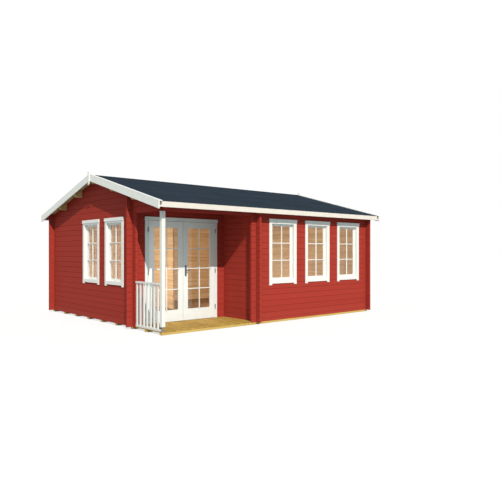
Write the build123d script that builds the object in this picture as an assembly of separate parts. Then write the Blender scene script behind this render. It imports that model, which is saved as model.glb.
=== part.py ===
from build123d import *
import math
import os

# A log cabin with a recessed corner porch, modelled in millimetres.
# The origin is on the ground at the middle of the plan. +X runs along the long front from left to
# right, +Y runs from the front to the back, and +Z is up.

# ---- Plan, over the outer faces of the walls --------------------------------------------------
house_length = 5580.0
house_depth = 4810.0
porch_width = 2100.0
porch_depth = 1006.0
inner_wall_length = 1870.0

# ---- Logs -------------------------------------------------------------------------------------
log_thickness = 44.0
log_height = 114.0
log_groove = 5.0
log_end = 110.0
side_wall_courses = 19.5
porch_clear_courses = 18
door_clear_courses = 17.5

# ---- Foundation and floors --------------------------------------------------------------------
beam_height = 40.0
beam_width = 75.0
beams_under_house = 7
beam_splice = 3530.0
splice_gap = 2.0
deck_bearing = 16.0
board_thickness = 20.0
floor_gap = 5.0
deck_gap = 3.0

# ---- Roof -------------------------------------------------------------------------------------
roof_pitch = 15.0
eave_overhang = 200.0
gable_overhang = 200.0
roof_board_thickness = 20.0
covering_thickness = 6.0
fascia_thickness = 20.0
fascia_height = 92.0
bargeboard_thickness = 20.0
bargeboard_width = 120.0
bargeboard_nose = 28.0
verge_strip_width = 72.0
verge_strip_thickness = 14.0
ridge_cap_wing = 125.0
ridge_cap_thickness = 4.0
finial_width = 56.0
finial_height = 293.0
finial_rise = 60.0
finial_thickness = 18.0
finial_point = 26.0
purlin_width = 58.0
purlin_height = 150.0
purlin_chamfer = 60.0
upper_purlin_offset = 814.0
lower_purlin_offset = 1631.0

# ---- Windows ----------------------------------------------------------------------------------
front_window_places = [2827.0, 3857.0, 4887.0]
side_window_places = [1722.0, 2750.0]
window_sill_height = 775.0
window_hole_width = 670.0
window_hole_height = 1170.0
window_fit = 2.5
window_frame_face = 22.5
window_frame_depth = 110.0
window_glass_depth = 60.0
sash_face = 62.0
sash_rail = 42.0
sash_set_back = 46.0
sash_depth = 60.0
casing_width = 72.0
casing_thickness = 15.0
casing_leg = 30.0
casing_head = 29.0
casing_joint = 0.5
header_height = 66.0
header_thickness = 26.0
header_ear = 8.0

# ---- Double door ------------------------------------------------------------------------------
door_place = 1084.0
door_hole_width = 1630.0
door_fit = 2.5
jamb_face = 37.5
jamb_stop = 22.0
jamb_depth = 80.0
sill_thickness = 20.0
leaf_gap = 5.0
meeting_gap = 6.0
leaf_width = 767.0
leaf_thickness = 66.0
leaf_proud = 18.0
leaf_bottom = 27.0
door_head = 50.0
meeting_bevel = 4.0
door_glass_depth = 20.0
hinge_stile = 125.0
meeting_stile = 109.0
bottom_rail = 219.0
top_rail = 125.0
door_casing_width = 57.0
door_casing_thickness = 14.0
door_header_height = 65.0
door_header_ear = 11.0
glass_thickness = 4.0
glass_edge = 8.0

# ---- Door hardware ----------------------------------------------------------------------------
hinge_heights = [250.0, 980.0, 1780.0]
hinge_barrel_radius = 8.0
hinge_half_length = 45.0
hinge_washer_gap = 0.3
pin_offset = 10.0
lever_height = 1003.0
lever_length = 78.0
lever_width = 20.0
lever_thickness = 11.0
lever_projection = 50.0
lever_corner = 5.0
lever_play = 0.3
neck_radius = 8.0
spindle_width = 8.0
spindle_play = 0.6
backplate_width = 40.0
backplate_below = 118.0
backplate_above = 97.0
backplate_thickness = 8.0
backplate_corner = 8.0

# ---- Porch ------------------------------------------------------------------------------------
post_size = 70.0
post_lift = 78.0
foot_plate_thickness = 6.0
foot_rod_radius = 12.0
foot_nut_radius = 20.0
foot_nut_height = 14.0
rail_top = 832.0
rail_thickness = 28.0
rail_width = 60.0
foot_rail_height = 34.0
foot_rail_thickness = 34.0
baluster_count = 7
baluster_width = 46.0
baluster_thickness = 18.0

# ---- Places worked out from the sizes above ---------------------------------------------------
left = -house_length / 2
right = house_length / 2
front = -house_depth / 2
back = house_depth / 2
base = beam_height
porch_right = left + porch_width
porch_back = front + porch_depth
inner_wall_front = back - inner_wall_length
floor_top = base + board_thickness
porch_clear = base + porch_clear_courses * log_height
door_clear = base + door_clear_courses * log_height
front_top_joint = base + (side_wall_courses - 1) * log_height
slope = math.tan(math.radians(roof_pitch))
stretch = 1 / math.cos(math.radians(roof_pitch))
wall_top = base + side_wall_courses * log_height
ridge_under = wall_top + slope * house_depth / 2
board_rise = roof_board_thickness * stretch
covering_rise = board_rise + covering_thickness * stretch
roof_end = right + gable_overhang
eave_face = back + eave_overhang
barge_inner = roof_end - bargeboard_thickness
hinge_pin_y = -leaf_proud - pin_offset
door_centre = left + door_place
leaf_top = door_clear - base - door_head
leaf_outer = meeting_gap / 2 + leaf_width
hinge_pin_x = leaf_outer + leaf_gap / 2
lever_x = meeting_gap / 2 + meeting_stile / 2


def block(x0, x1, y0, y1, z0, z1):
    """A box between two corners."""
    return Pos((x0 + x1) / 2, (y0 + y1) / 2, (z0 + z1) / 2) * Box(x1 - x0, y1 - y0, z1 - z0)


def save(name, *solids):
    """Write one sub-part, made of one or more solids that stay apart."""
    shape = solids[0] if len(solids) == 1 else Compound(children=list(solids))
    export_step(shape, os.path.join("parts", name + ".step"))


def along_x(points, x0, x1):
    """Extrude an outline of (y, z) points from x0 to x1."""
    plane = Plane(origin=(x0, 0, 0), x_dir=(0, 1, 0), z_dir=(1, 0, 0))
    return extrude(plane * make_face(Polyline(*points, close=True)), x1 - x0)


def along_y(points, y0, y1):
    """Extrude an outline of (x, z) points from y0 to y1."""
    plane = Plane(origin=(0, y1, 0), x_dir=(1, 0, 0), z_dir=(0, -1, 0))
    return extrude(plane * make_face(Polyline(*points, close=True)), y1 - y0)


def upright(points, z0, z1):
    """Extrude an outline of (x, y) points from z0 to z1."""
    return extrude(Plane(origin=(0, 0, z0)) * make_face(Polyline(*points, close=True)), z1 - z0)


# ---- Log walls --------------------------------------------------------------------------------
# Logs lie on each other with a V groove along each joint on the weather side, and flush towards a
# room. At a corner the two walls cross, and each log keeps only the middle half of its height
# there, so the logs of one wall lie in the notches of the other. For that, walls along X start
# with a half log and walls along Y with a whole one. Every log runs on past the corner.

def wall_face(face, inward, bottom, top, joints):
    """Points up one face of a stack of logs, with a V groove at each of the joints given."""
    points = [(face, bottom)]
    for joint in joints:
        points += [(face, joint - log_groove), (face + inward * log_groove, joint),
                   (face, joint + log_groove)]
    return points + [(face, top)]


def log_outline(face, bottom, top, first_joint, grooved):
    """Cross-section of a stack of logs. Its grooved faces are -1, the low one, and 1, the high one."""
    joints = []
    joint = first_joint
    while joint < top - log_groove:
        if joint > bottom + log_groove:
            joints.append(joint)
        joint += log_height
    low_side = wall_face(face, 1, bottom, top, joints if -1 in grooved else [])
    high_side = wall_face(face + log_thickness, -1, bottom, top, joints if 1 in grooved else [])
    return low_side + high_side[::-1]


def wall_along_x(face, x0, x1, bottom, top, grooved=(-1,)):
    """A log wall along X between two heights. Its lowest log is a half log."""
    return along_x(log_outline(face, bottom, top, base + log_height / 2, grooved), x0, x1)


def wall_along_y(face, y0, y1, bottom, top, grooved=(-1,)):
    """A log wall along Y between two heights. Its lowest log is a whole one."""
    return along_y(log_outline(face, bottom, top, base + log_height, grooved), y0, y1)


def crossing(x, y, first_centre):
    """The middle halves of a crossing wall's logs, to be cut out of the wall they pass through."""
    pieces = []
    centre = first_centre
    while centre < ridge_under:
        low = centre - log_height / 4
        pieces.append(block(x, x + log_thickness, y, y + log_thickness, low, low + log_height / 2))
        centre += log_height
    return pieces


def notches_for_y_walls(y, x_faces):
    """Notches in a wall along X, one column for each wall along Y that crosses it."""
    return [piece for x in x_faces for piece in crossing(x, y, base + log_height / 2)]


def notches_for_x_walls(x, y_faces):
    """Notches in a wall along Y, one column for each wall along X that crosses it."""
    return [piece for y in y_faces for piece in crossing(x, y, base)]


def space_under_roof():
    """Everything below the undersides of the roof boards."""
    low = wall_top - slope * eave_overhang
    outline = [(-eave_face, 0), (eave_face, 0), (eave_face, low), (0, ridge_under), (-eave_face, low)]
    return along_x(outline, -roof_end, roof_end)


def purlin(centre_y, under_roof):
    """A roof beam from gable to gable, trimmed to the roof slope, with chamfered lower ends."""
    end = barge_inner
    top = ridge_under - slope * max(abs(centre_y) - purlin_width / 2, 0)
    low = top - purlin_height
    outline = [(-end, top), (-end, low + purlin_chamfer), (purlin_chamfer - end, low),
               (end - purlin_chamfer, low), (end, low + purlin_chamfer), (end, top)]
    beam = along_y(outline, centre_y - purlin_width / 2, centre_y + purlin_width / 2)
    return beam & under_roof


under_roof = space_under_roof()
ridge_purlin = purlin(0, under_roof)
side_purlins = [purlin(side * offset, under_roof)
                for side in (-1, 1) for offset in (upper_purlin_offset, lower_purlin_offset)]

left_face = left
right_face = right - log_thickness
front_face = front
back_face = back - log_thickness


def window_hole_x(place):
    """The hole for a window in the front wall."""
    x = left + place
    return block(x - window_hole_width / 2, x + window_hole_width / 2, front - 1, front + log_thickness + 1,
                 base + window_sill_height, base + window_sill_height + window_hole_height)


def window_hole_y(place):
    """The hole for a window in the left gable wall."""
    y = front + place
    return block(left - 1, left + log_thickness + 1, y - window_hole_width / 2, y + window_hole_width / 2,
                 base + window_sill_height, base + window_sill_height + window_hole_height)


def build_walls():
    """Every log wall, each cut by the walls and purlins that cross it and by the roof slope."""
    ends_x = (left - log_end, right + log_end)
    ends_y = (front - log_end, back + log_end)
    purlins = [ridge_purlin] + side_purlins
    room_corner_x = porch_right + log_thickness + log_end
    room_corner_y = porch_back + log_thickness + log_end
    door_left = door_centre - door_hole_width / 2
    door_right = door_centre + door_hole_width / 2

    front_wall = wall_along_x(front_face, porch_right - log_end, ends_x[1], base, front_top_joint)
    front_wall -= notches_for_y_walls(front_face, [porch_right, right_face])
    front_wall -= [window_hole_x(place) for place in front_window_places]
    save("front_wall", front_wall)

    top_logs = wall_along_x(front_face, *ends_x, porch_clear, ridge_under)
    top_logs -= block(porch_right - log_end, ends_x[1], front_face, front_face + log_thickness,
                      porch_clear, front_top_joint)
    top_logs -= notches_for_y_walls(front_face, [left_face, porch_right, right_face])
    save("front_top_logs", top_logs & under_roof)

    back_wall = wall_along_x(back_face, *ends_x, base, ridge_under, grooved=(1,))
    back_wall -= notches_for_y_walls(back_face, [left_face, right_face])
    save("back_wall", back_wall & under_roof)

    beside = wall_along_x(porch_back, ends_x[0], door_left, base, door_clear)
    save("door_wall_left", beside - notches_for_y_walls(porch_back, [left_face]))
    beside = wall_along_x(porch_back, door_right, room_corner_x, base, door_clear)
    save("door_wall_right", beside - notches_for_y_walls(porch_back, [porch_right]))
    over = wall_along_x(porch_back, ends_x[0], room_corner_x, door_clear, ridge_under)
    over -= notches_for_y_walls(porch_back, [left_face, porch_right])
    save("door_wall_over", over & under_roof)

    left_wall = wall_along_y(left_face, porch_back - log_end, ends_y[1], base, porch_clear)
    left_wall -= notches_for_x_walls(left_face, [porch_back, back_face])
    left_wall -= [window_hole_y(place) for place in side_window_places]
    save("left_gable_wall", left_wall)

    gable = wall_along_y(left_face, *ends_y, porch_clear, ridge_under)
    gable -= notches_for_x_walls(left_face, [front_face, porch_back, back_face])
    save("left_gable_top", (gable & under_roof) - purlins)

    gable = wall_along_y(right_face, *ends_y, base, ridge_under, grooved=(1,))
    gable -= notches_for_x_walls(right_face, [front_face, back_face])
    save("right_gable_wall", (gable & under_roof) - purlins)

    side = wall_along_y(porch_right, ends_y[0], room_corner_y, base, ridge_under)
    side -= notches_for_x_walls(porch_right, [front_face, porch_back])
    save("porch_side_wall", (side & under_roof) - purlins)

    inner = wall_along_y(porch_right, inner_wall_front, back_face, base, ridge_under, grooved=())
    save("inner_wall", (inner & under_roof) - purlins)

    save("ridge_purlin", ridge_purlin)
    save("side_purlins", *side_purlins)


# ---- Foundation and floors --------------------------------------------------------------------

def beam(y0, spliced=False):
    """A foundation beam from gable to gable, in two lengths where it is spliced."""
    if not spliced:
        return [block(left, right, y0, y0 + beam_width, 0, beam_height)]
    joint = left + beam_splice
    return [block(left, joint - splice_gap / 2, y0, y0 + beam_width, 0, beam_height),
            block(joint + splice_gap / 2, right, y0, y0 + beam_width, 0, beam_height)]


def build_foundation():
    """Beams along X: under the front, under the middle of the porch, and evenly under the house."""
    first = porch_back - deck_bearing
    last = back - beam_width
    pitch = (last - first) / (beams_under_house - 1)
    solids = beam(front, spliced=True) + beam((front + first) / 2)
    for number in range(beams_under_house):
        solids += beam(first + number * pitch)
    save("foundation_beams", *solids)


def wall_footprint(x0, x1, y0, y1, gap):
    """The space that a wall's foot takes from a floor, with a gap round it."""
    return block(x0 - gap, x1 + gap, y0 - gap, y1 + gap, base, floor_top)


def build_floors():
    """Floor boards inside the walls, and the porch deck, both lying on the beams."""
    inside = block(left + log_thickness + floor_gap, right - log_thickness - floor_gap,
                   front + log_thickness + floor_gap, back - log_thickness - floor_gap, base, floor_top)
    inside -= block(left, porch_right, front, porch_back, base, floor_top)
    crossing_end = log_thickness + log_end
    inside -= wall_footprint(left, porch_right + crossing_end, porch_back,
                             porch_back + log_thickness, floor_gap)
    inside -= wall_footprint(porch_right, porch_right + log_thickness, front,
                             porch_back + crossing_end, floor_gap)
    inside -= wall_footprint(porch_right, porch_right + log_thickness, inner_wall_front, back, floor_gap)
    half = door_hole_width / 2
    inside -= wall_footprint(door_centre - half, door_centre + half, porch_back,
                             porch_back + jamb_depth, floor_gap)
    save("floor_boards", inside)

    deck = block(left, porch_right - deck_gap, front, porch_back - deck_gap, base, floor_top)
    deck -= wall_footprint(left, left + log_thickness, porch_back - log_end, porch_back, deck_gap)
    deck -= wall_footprint(porch_right - log_end, porch_right, front, front + log_thickness, deck_gap)
    save("porch_deck", deck)


# ---- Roof -------------------------------------------------------------------------------------

def roof_layer(side, edge, low_rise, high_rise, x_end):
    """One slope of a roof layer, between two heights above the underside of the boards."""
    drop = slope * edge
    outline = [(0, ridge_under + low_rise), (0, ridge_under + high_rise),
               (side * edge, ridge_under + high_rise - drop), (side * edge, ridge_under + low_rise - drop)]
    return along_x(outline, -x_end, x_end)


def sloping_board(side, edge, low_rise, high_rise, x0, x1):
    """A board that follows one roof slope from the ridge to a plumb cut at its end."""
    return roof_layer(side, edge, low_rise, high_rise, roof_end + finial_thickness) & block(
        x0, x1, -2 * eave_face, 2 * eave_face, 0, 2 * ridge_under)


def build_roof():
    """Boards, covering, ridge cap, fascias, bargeboards, verge strips and finials."""
    fascia_inner = eave_face - fascia_thickness
    nose = eave_face + bargeboard_nose
    barge_low = covering_rise - bargeboard_width * stretch
    strip_top = covering_rise + verge_strip_thickness * stretch
    for side, name in ((-1, "front"), (1, "back")):
        save("roof_boards_" + name, roof_layer(side, fascia_inner, 0, board_rise, barge_inner))
        save("roof_covering_" + name,
             roof_layer(side, eave_face, board_rise, covering_rise, barge_inner))

        high = ridge_under + board_rise - slope * fascia_inner
        low = ridge_under + board_rise - slope * eave_face
        outline = [(side * fascia_inner, high), (side * eave_face, low),
                   (side * eave_face, low - fascia_height), (side * fascia_inner, low - fascia_height)]
        save("fascia_" + name, along_x(outline, -barge_inner, barge_inner))

        save("bargeboards_" + name,
             sloping_board(side, nose, barge_low, covering_rise, -roof_end, -barge_inner),
             sloping_board(side, nose, barge_low, covering_rise, barge_inner, roof_end))

    strips = []
    for side in (-1, 1):
        for x0, x1 in ((-roof_end, verge_strip_width - roof_end), (roof_end - verge_strip_width, roof_end)):
            strip = sloping_board(side, nose, covering_rise, strip_top, x0, x1)
            strips.append(strip - block(x0, x1, -splice_gap / 2, splice_gap / 2, 0, 2 * ridge_under))
    save("verge_strips", *strips)

    wing = ridge_cap_wing / stretch
    cap_end = roof_end - verge_strip_width
    cap_high = covering_rise + ridge_cap_thickness * stretch
    cap = roof_layer(-1, wing, covering_rise, cap_high, cap_end) + roof_layer(
        1, wing, covering_rise, cap_high, cap_end)
    save("ridge_cap", cap)

    top = ridge_under + strip_top + finial_rise
    half = finial_width / 2
    outline = [(0, top), (half, top - finial_point), (half, top - finial_height + finial_point),
               (0, top - finial_height), (-half, top - finial_height + finial_point),
               (-half, top - finial_point)]
    save("finials", along_x(outline, -roof_end - finial_thickness, -roof_end),
         along_x(outline, roof_end, roof_end + finial_thickness))


# ---- Windows and door, drawn with the outer wall face at y = 0 and the opening's middle at x = 0 --

def ring(half_width, low, high, side, bottom, top, y0, y1):
    """A rectangular frame with its own widths for the sides, the bottom and the top."""
    outer = block(-half_width, half_width, y0, y1, low, high)
    return outer - block(side - half_width, half_width - side, y0, y1, low + bottom, high - top)


def pane(half_width, low, high, middle):
    """A sheet of glass, with its edges in the groove of what holds it."""
    return block(-half_width - glass_edge, half_width + glass_edge, middle - glass_thickness / 2,
                 middle + glass_thickness / 2, low - glass_edge, high + glass_edge)


def window_casing(half, low, high):
    """The boards round a window: two legs, a head strip, a bottom board and a thicker header."""
    outer = half + casing_width
    foot = low - casing_width - casing_leg
    head = high + casing_head
    between = half - casing_joint
    return [block(-outer, -half, -casing_thickness, 0, foot, head),
            block(half, outer, -casing_thickness, 0, foot, head),
            block(-between, between, -casing_thickness, 0, high, head),
            block(-between, between, -casing_thickness, 0, low - casing_width, low),
            block(-outer - header_ear, outer + header_ear, -header_thickness, 0,
                  head + casing_joint, head + header_height)]


def window_parts():
    """A window's frame with its fixed sash, its glass, and the casing boards round it."""
    low = window_sill_height + window_fit
    high = window_sill_height + window_hole_height - window_fit
    half = window_hole_width / 2 - window_fit
    frame = ring(half, low, high, window_frame_face, window_frame_face, window_frame_face,
                 0, window_frame_depth)
    half -= window_frame_face
    low += window_frame_face
    high -= window_frame_face
    frame += ring(half, low, high, sash_face, sash_rail, sash_rail, sash_set_back,
                  sash_set_back + sash_depth)
    glass = pane(half - sash_face, low + sash_rail, high - sash_rail, window_glass_depth)
    return frame - glass, glass, window_casing(half, low, high)


def build_windows():
    """Three windows in the front wall and two in the left gable wall."""
    frame, glass, casing = window_parts()
    places = [Location((left + x, front, base)) for x in front_window_places]
    places += [Location((left, front + y, base), (0, 0, -90)) for y in side_window_places]
    names = ["front_window_" + str(n + 1) for n in range(len(front_window_places))]
    names += ["left_window_" + str(n + 1) for n in range(len(side_window_places))]
    for name, place in zip(names, places):
        save(name, place * frame)
    save("window_casings", *[place * board for place in places for board in casing])
    save("window_glass", *[place * glass for place in places])


def door_leaf():
    """The right leaf and its glass, with a bevel on the inner side of the meeting edge."""
    x0 = meeting_gap / 2
    x1 = leaf_outer
    y0 = -leaf_proud
    y1 = leaf_thickness - leaf_proud
    leaf = upright([(x0, y0), (x1, y0), (x1, y1), (x0 + meeting_bevel, y1)], leaf_bottom, leaf_top)
    glass_x0 = x0 + meeting_stile
    glass_x1 = x1 - hinge_stile
    leaf -= block(glass_x0, glass_x1, y0, y1, leaf_bottom + bottom_rail, leaf_top - top_rail)
    glass = Pos((glass_x0 + glass_x1) / 2, 0, 0) * pane(
        (glass_x1 - glass_x0) / 2, leaf_bottom + bottom_rail, leaf_top - top_rail,
        y0 + door_glass_depth)
    return leaf - glass, glass


def rod_y(x, z, y0, y1, radius):
    """A round bar along Y."""
    return Pos(x, (y0 + y1) / 2, z) * Rot(90, 0, 0) * Cylinder(radius, y1 - y0)


def spindle_hole(y0, y1):
    """The eight-sided hole that the square spindle turns in."""
    plane = Plane(origin=(lever_x, y1, lever_height), x_dir=(1, 0, 0), z_dir=(0, -1, 0))
    room = spindle_width / math.sqrt(2) + spindle_play
    return extrude(plane * RegularPolygon(room, 8, major_radius=False), y1 - y0)


def backplate(y0, y1):
    """A tall handle plate with cut corners and a hole for the spindle."""
    half = backplate_width / 2
    low = lever_height - backplate_below
    high = lever_height + backplate_above
    cut = backplate_corner
    outline = [(lever_x - half, low + cut), (lever_x - half + cut, low), (lever_x + half - cut, low),
               (lever_x + half, low + cut), (lever_x + half, high - cut), (lever_x + half - cut, high),
               (lever_x - half + cut, high), (lever_x - half, high - cut)]
    return along_y(outline, y0, y1) - spindle_hole(y0, y1)


def lever_half(plate_face, out):
    """One lever: a round neck off the plate, and a flat grip towards the hinge side."""
    start = plate_face + out * lever_play
    end = plate_face + out * (lever_projection - lever_thickness)
    neck = rod_y(lever_x, lever_height, min(start, end), max(start, end), neck_radius)
    half = lever_width / 2
    x0 = lever_x - half
    x1 = x0 + lever_length
    cut = lever_corner
    outline = [(x0 + cut, lever_height - half), (x1 - cut, lever_height - half),
               (x1, lever_height - half + cut), (x1, lever_height + half - cut),
               (x1 - cut, lever_height + half), (x0 + cut, lever_height + half),
               (x0, lever_height + half - cut), (x0, lever_height - half + cut)]
    face = plate_face + out * lever_projection
    return neck + along_y(outline, min(end, face), max(end, face))


def hinge_half(side, low, arm_side, seat_y):
    """A round barrel on the pin line, with the arm that screws into the timber behind it."""
    x = side * hinge_pin_x
    high = low + hinge_half_length
    barrel = Pos(x, hinge_pin_y, (low + high) / 2) * Cylinder(hinge_barrel_radius, hinge_half_length)
    reach = sorted((x, x + arm_side * hinge_barrel_radius))
    return barrel + block(reach[0], reach[1], hinge_pin_y, seat_y, low, high)


def hinge(side, low):
    """A lift-off hinge: the frame's barrel below, and the leaf's barrel above it."""
    high = low + hinge_half_length + hinge_washer_gap
    return (hinge_half(side, low, side, -door_casing_thickness),
            hinge_half(side, high, -side, -leaf_proud))


def build_door():
    """The double door: frame, casing, two glazed leaves, their hinges and the lever handle."""
    place = Location((door_centre, porch_back, base))
    hole_top = door_clear - base
    half = door_hole_width / 2 - door_fit
    frame = block(-half, half, 0, jamb_depth, 0, hole_top - door_fit)
    opening = half - jamb_face
    frame -= block(-opening, opening, 0, leaf_thickness - leaf_proud + leaf_gap,
                   sill_thickness, leaf_top + leaf_gap)
    stop = opening - jamb_stop
    frame -= block(-stop, stop, 0, jamb_depth, sill_thickness, leaf_top - jamb_stop)
    save("door_frame", place * frame)

    outer = leaf_outer + leaf_gap + door_casing_width
    casing_top = leaf_top + leaf_gap
    inner = leaf_outer + leaf_gap
    boards = [block(-outer, -inner, -door_casing_thickness, 0, sill_thickness, casing_top),
              block(inner, outer, -door_casing_thickness, 0, sill_thickness, casing_top),
              block(-outer - door_header_ear, outer + door_header_ear, -header_thickness, 0,
                    casing_top + casing_joint, casing_top + door_header_height)]
    save("door_casing", *[place * board for board in boards])

    leaf, glass = door_leaf()
    left_leaf = mirror(leaf, Plane.YZ)
    left_glass = mirror(glass, Plane.YZ)
    leaf -= spindle_hole(-leaf_proud, leaf_thickness - leaf_proud)
    save("left_door_leaf", place * left_leaf)
    save("left_door_glass", place * left_glass)
    save("right_door_leaf", place * leaf)
    save("right_door_glass", place * glass)

    fixed = []
    for side, name in ((-1, "left"), (1, "right")):
        moving = []
        for height in hinge_heights:
            lower, upper = hinge(side, height - hinge_half_length)
            fixed.append(place * lower)
            moving.append(place * upper)
        save(name + "_leaf_hinges", *moving)
    save("frame_hinges", *fixed)

    outer_plate = -leaf_proud - backplate_thickness
    inner_plate = leaf_thickness - leaf_proud + backplate_thickness
    save("handle_plates", place * backplate(outer_plate, -leaf_proud),
         place * backplate(leaf_thickness - leaf_proud, inner_plate))
    half = spindle_width / 2
    spindle = block(lever_x - half, lever_x + half, outer_plate - lever_projection / 2,
                    inner_plate + lever_projection / 2, lever_height - half, lever_height + half)
    save("lever_handle", place * (spindle + lever_half(outer_plate, -1) + lever_half(inner_plate, 1)))


# ---- Porch ------------------------------------------------------------------------------------

def build_porch():
    """The corner post on its steel foot, and the railing between the post and the gable wall."""
    post_bottom = floor_top + post_lift
    save("porch_post", block(left, left + post_size, front, front + post_size, post_bottom, porch_clear))

    middle = (left + post_size / 2, front + post_size / 2)
    foot = block(left, left + post_size, front, front + post_size, floor_top,
                 floor_top + foot_plate_thickness)
    foot += block(left, left + post_size, front, front + post_size,
                  post_bottom - foot_plate_thickness, post_bottom)
    foot += Pos(*middle, (floor_top + post_bottom) / 2) * Cylinder(foot_rod_radius, post_lift)
    nut = extrude(Plane(origin=(*middle, floor_top + foot_plate_thickness)) * RegularPolygon(
        foot_nut_radius, 6), foot_nut_height)
    save("post_foot", foot + nut)

    y0 = front + post_size
    y1 = porch_back - log_end
    top = base + rail_top
    middle_x = left + log_thickness / 2
    foot_top = floor_top + foot_rail_height
    railing = block(left, left + rail_width, y0, y1, top - rail_thickness, top)
    railing += block(middle_x - foot_rail_thickness / 2, middle_x + foot_rail_thickness / 2, y0, y1,
                     floor_top, foot_top)
    for number in range(baluster_count):
        end = y1 - number * (y1 - y0) / baluster_count
        railing += block(middle_x - baluster_thickness / 2, middle_x + baluster_thickness / 2,
                         end - baluster_width, end, foot_top, top - rail_thickness)
    save("porch_railing", railing)


os.makedirs("parts", exist_ok=True)
build_foundation()
build_floors()
build_walls()
build_roof()
build_windows()
build_door()
build_porch()
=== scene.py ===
import math

import bmesh
import bpy
from mathutils import Matrix, Vector


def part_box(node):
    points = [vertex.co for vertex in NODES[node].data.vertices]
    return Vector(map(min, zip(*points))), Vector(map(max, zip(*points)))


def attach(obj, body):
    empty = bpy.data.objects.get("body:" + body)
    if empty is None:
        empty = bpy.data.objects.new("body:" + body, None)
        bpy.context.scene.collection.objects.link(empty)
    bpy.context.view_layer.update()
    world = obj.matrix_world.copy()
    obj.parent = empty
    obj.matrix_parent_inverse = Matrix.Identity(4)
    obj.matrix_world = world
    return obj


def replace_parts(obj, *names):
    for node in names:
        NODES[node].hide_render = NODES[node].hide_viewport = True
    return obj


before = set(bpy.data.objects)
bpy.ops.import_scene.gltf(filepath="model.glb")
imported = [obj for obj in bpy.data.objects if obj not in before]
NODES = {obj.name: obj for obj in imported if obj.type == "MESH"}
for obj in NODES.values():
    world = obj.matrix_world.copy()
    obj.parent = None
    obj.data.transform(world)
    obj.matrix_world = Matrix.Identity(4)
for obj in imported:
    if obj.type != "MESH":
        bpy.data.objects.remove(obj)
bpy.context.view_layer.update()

# ---- Sizes in metres, read from the model where it has them -------------------------------------

# The underside of the walls, their outer faces, and the porch's two inner faces
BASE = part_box("front_wall")[0].z
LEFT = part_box("left_gable_wall")[0].x
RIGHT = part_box("right_gable_wall")[1].x
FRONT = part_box("front_wall")[0].y
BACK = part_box("back_wall")[1].y
PORCH_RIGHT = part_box("porch_side_wall")[0].x
PORCH_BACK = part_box("door_wall_over")[0].y

# Logs: a half log and this many whole ones lie under the top log of a long wall
LOG_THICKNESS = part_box("inner_wall")[1].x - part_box("inner_wall")[0].x
LOG_HEIGHT = 0.114
LOGS_UNDER_TOP = 18

# The roof, and the plates at the ends of its fascias
ROOF_PITCH = math.radians(15)
FELT_THICKNESS = 0.006
FELT_COURSES = 4
FELT_FROM_RIDGE = 0.002
PLATE_WIDTH, PLATE_HEIGHT, PLATE_THICKNESS = 0.052, 0.054, 0.002
PLATE_DROP = 0.008

# Boards, the gaps between them, and the grooves in the deck's boards
DECK_BOARD, DECK_GAP = 0.1, 0.005
FLOOR_BOARD, ROOF_BOARD, TIGHT_GAP = 0.121, 0.096, 0.001
GROOVE_COUNT = 8
GROOVE_PITCH, GROOVE_WIDTH, GROOVE_DEPTH = 0.012, 0.005, 0.0025

# Windows and door: panes across and up, glazing bars, and the sash round the glass
WINDOW_PANES, DOOR_PANES = (2, 3), (2, 4)
BAR_WIDTH, BAR_DEPTH, BAR_LAP = 0.02, 0.018, 0.012
BAR_BEVEL = 0.005
BAR_SHOULDER = 0.6
SASH_SET_BACK, SASH_DEPTH = 0.046, 0.06
GLASS_EDGE = 0.008
WINDOW_SPLAY, DOOR_SPLAY = 0.04, 0.03

# How far edges are rounded off, from screw heads to the porch post
SCREW_EDGE = 0.0005
THIN_EDGE = 0.001
FINE_EDGE = 0.0015
TRIM_EDGE = 0.002
BLUNT_EDGE = 0.003
POST_EDGE = 0.005

# Points this near each other are one, and faces this near one plane are flat
SAME_PLACE = 1e-5
FLAT = math.radians(0.5)


# ---- Shader node helpers ------------------------------------------------------------------------

FLOAT, VECTOR, COLOUR = "NodeSocketFloat", "NodeSocketVector", "NodeSocketColor"
BLACK, WHITE = (0.0, 0.0, 0.0), (1.0, 1.0, 1.0)
MIX_FACTOR, MIX_A, MIX_B, MIX_RESULT = 0, 6, 7, 2


def new_material(name):
    """A material with its node tree and its Principled shader."""
    material = bpy.data.materials.new(name)
    material.use_nodes = True
    tree = material.node_tree
    return material, tree, tree.nodes["Principled BSDF"]


def link(tree, source, target):
    tree.links.new(source, target)


def feed(tree, value, socket):
    """Give a socket its value: another node's output, a number, a vector or a colour."""
    if isinstance(value, bpy.types.NodeSocket):
        link(tree, value, socket)
    elif isinstance(value, tuple) and len(value) < len(socket.default_value):
        socket.default_value = (*value, 1.0)
    else:
        socket.default_value = value


def math_node(tree, operation, *values):
    """A math node, giving its output."""
    node = tree.nodes.new("ShaderNodeMath")
    node.operation = operation
    for value, socket in zip(values, node.inputs):
        feed(tree, value, socket)
    return node.outputs[0]


def mix_colour(tree, factor, a, b):
    """A mix of two colours, giving its output."""
    node = tree.nodes.new("ShaderNodeMix")
    node.data_type = "RGBA"
    for value, number in ((factor, MIX_FACTOR), (a, MIX_A), (b, MIX_B)):
        feed(tree, value, node.inputs[number])
    return node.outputs[MIX_RESULT]


def mix_shaders(tree, factor, first, second):
    """The first shader where a factor is 0 and the second where it is 1, giving the output."""
    node = tree.nodes.new("ShaderNodeMixShader")
    for value, socket in zip((factor, first, second), node.inputs):
        feed(tree, value, socket)
    return node.outputs[0]


def ramp(tree, factor, places, colours):
    """A colour ramp with colours at their places, giving its colour."""
    node = tree.nodes.new("ShaderNodeValToRGB")
    elements = node.color_ramp.elements
    while len(elements) < len(places):
        elements.new(0.5)
    for element, place, colour in zip(elements, places, colours):
        element.position = place
        element.color = (*colour, 1.0)
    link(tree, factor, node.inputs["Fac"])
    return node.outputs["Color"]


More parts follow.
